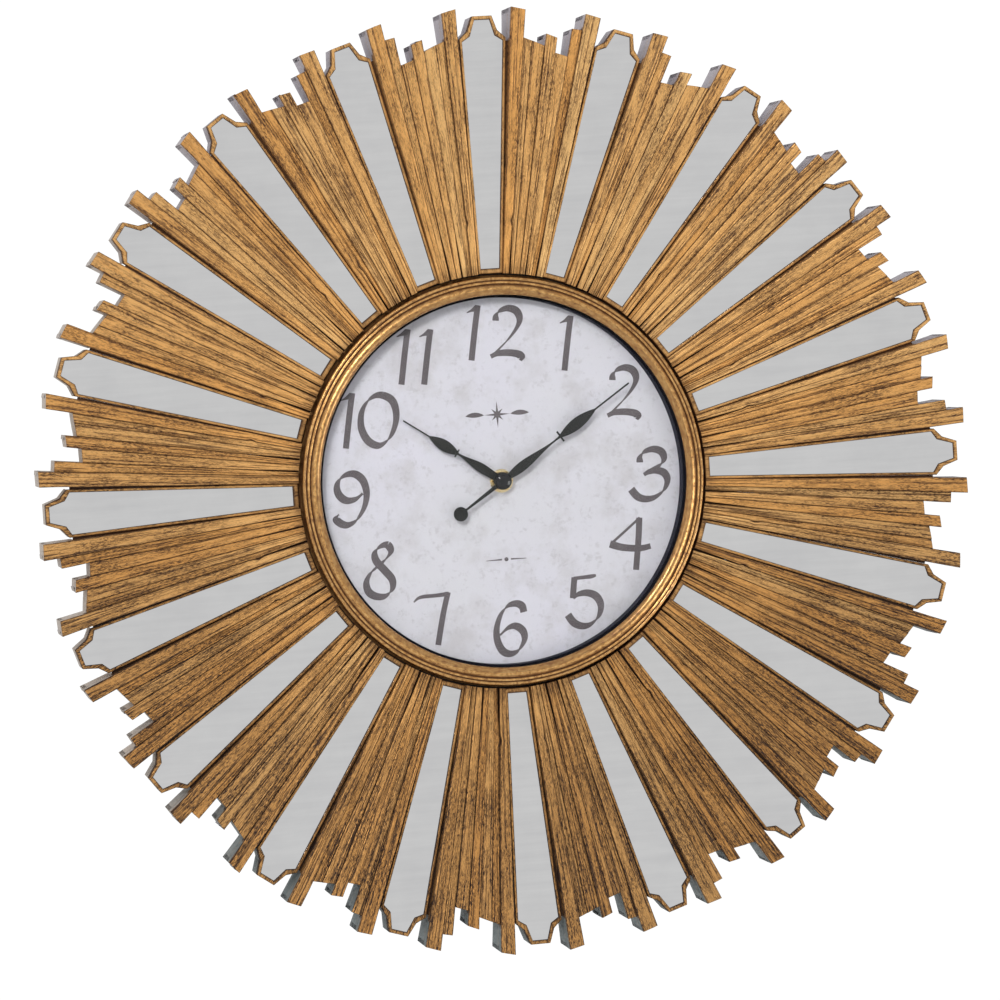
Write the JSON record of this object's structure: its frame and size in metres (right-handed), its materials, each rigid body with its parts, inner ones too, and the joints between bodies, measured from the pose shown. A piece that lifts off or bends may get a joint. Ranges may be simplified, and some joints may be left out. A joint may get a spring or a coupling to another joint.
{
  "type": "sunburst wall clock",
  "caption": "Round quartz wall clock with black spade hands under glass, in a dished sunburst of mirror strips and gold split-timber fans.",
  "frame": {"origin": "on the hands' axis, in the plane of the wall that the drum's rim and the movement's back lie in", "axes": "-Y out of the face towards the viewer, +Z towards 12 o'clock, +X towards 3 o'clock"},
  "size_m": [0.6604, 0.0658, 0.6624],
  "materials": {
    "gold_frame": "antique gold paint over moulded timber grain, black in the grooves",
    "mirror": "silvered glass strip",
    "back_plastic": "black moulded plastic",
    "steel": "zinc plated",
    "dial": "matt off-white print with grey numerals",
    "spacer": "matt black",
    "lens": "clear flat glass",
    "bezel": "antique gold paint over beads, dark in the grooves",
    "movement_plastic": "black moulded plastic",
    "rubber": "soft black rubber",
    "brass": "turned brass",
    "gear_plastic": "natural acetal",
    "magnet": "sintered magnet on a plastic pinion",
    "knob": "red moulded plastic",
    "stator": "soft iron sheet",
    "coil": "enamelled copper winding",
    "board": "green circuit board",
    "contact": "nickel plated spring strip",
    "battery": "plain wrapped cell",
    "hands": "matt black enamel"
  },
  "bodies": {
    "root": {"sunburst_segment_01": "gold_frame", "sunburst_segment_02": "gold_frame", "sunburst_segment_03": "gold_frame", "sunburst_segment_04": "gold_frame", "sunburst_segment_05": "gold_frame", "sunburst_segment_06": "gold_frame", "sunburst_segment_07": "gold_frame", "sunburst_segment_08": "gold_frame", "sunburst_segment_09": "gold_frame", "sunburst_segment_10": "gold_frame", "mirror_01": "mirror", "mirror_02": "mirror", "mirror_03": "mirror", "mirror_04": "mirror", "mirror_05": "mirror", "mirror_06": "mirror", "mirror_07": "mirror", "mirror_08": "mirror", "mirror_09": "mirror", "mirror_10": "mirror", "mirror_11": "mirror", "mirror_12": "mirror", "mirror_13": "mirror", "mirror_14": "mirror", "mirror_15": "mirror", "mirror_16": "mirror", "mirror_17": "mirror", "mirror_18": "mirror", "mirror_19": "mirror", "mirror_20": "mirror", "back_housing": "back_plastic", "housing_screws": "steel", "hanger_screws": "steel", "hanger_plate": "steel", "dial_plate": "dial", "spacer_ring": "spacer", "glass_lens": "lens", "bezel_ring": "bezel", "movement_case": "movement_plastic", "movement_cover": "movement_plastic", "rubber_washer": "rubber", "brass_washer": "brass", "fixing_nut": "brass", "stator": "stator", "coil": "coil", "circuit_board": "board", "battery_contacts": "contact"},
    "minute": {"minute_arbor": "brass", "minute_hand": "hands", "cap_nut": "hands"},
    "hour": {"hour_wheel": "gear_plastic", "hour_hand": "hands"},
    "motion": {"motion_wheel": "gear_plastic"},
    "knob": {"setting_knob": "knob"},
    "second": {"second_wheel": "gear_plastic"},
    "third": {"third_wheel": "gear_plastic"},
    "centre": {"centre_wheel": "gear_plastic"},
    "intermediate": {"intermediate_wheel": "gear_plastic"},
    "rotor_body": {"rotor": "magnet"},
    "battery_body": {"battery": "battery"}
  },
  "joints": [
    {"name": "minute_turn", "type": "hinge", "parent": "root", "child": "minute", "pos_m": [0, -0.009, 0], "axis": [0, 1, 0], "continuous": true},
    {"name": "hour_turn", "type": "hinge", "parent": "root", "child": "hour", "pos_m": [0, -0.009, 0], "axis": [0, 1, 0], "continuous": true},
    {"name": "motion_turn", "type": "hinge", "parent": "root", "child": "motion", "pos_m": [0.00799, -0.009, 0.00602], "axis": [0, 1, 0], "continuous": true},
    {"name": "knob_turn", "type": "hinge", "parent": "root", "child": "knob", "pos_m": [0.01799, -0.009, 0.00602], "axis": [0, 1, 0], "continuous": true},
    {"name": "second_turn", "type": "hinge", "parent": "root", "child": "second", "pos_m": [-0.01704, -0.009, 0.00628], "axis": [0, 1, 0], "continuous": true},
    {"name": "third_turn", "type": "hinge", "parent": "root", "child": "third", "pos_m": [-0.00804, -0.009, 0.00628], "axis": [0, 1, 0], "continuous": true},
    {"name": "centre_turn", "type": "hinge", "parent": "root", "child": "centre", "pos_m": [0, -0.009, 0], "axis": [0, 1, 0], "continuous": true},
    {"name": "intermediate_turn", "type": "hinge", "parent": "root", "child": "intermediate", "pos_m": [-0.01704, -0.009, -0.00247], "axis": [0, 1, 0], "continuous": true},
    {"name": "rotor_turn", "type": "hinge", "parent": "root", "child": "rotor_body", "pos_m": [-0.01105, -0.009, -0.00698], "axis": [0, 1, 0], "continuous": true},
    {"name": "battery_slide", "type": "slide", "parent": "root", "child": "battery_body", "axis": [0, 1, 0], "range_m": [0, 0.03]}
  ],
  "couplings": [
    {"joint": "hour_turn", "follows": "minute_turn", "ratio": 0.083333},
    {"joint": "motion_turn", "follows": "minute_turn", "ratio": -0.33333},
    {"joint": "knob_turn", "follows": "minute_turn", "ratio": 1},
    {"joint": "third_turn", "follows": "second_turn", "ratio": -0.125},
    {"joint": "centre_turn", "follows": "second_turn", "ratio": 0.016667},
    {"joint": "intermediate_turn", "follows": "second_turn", "ratio": -6},
    {"joint": "rotor_turn", "follows": "second_turn", "ratio": 30}
  ]
}
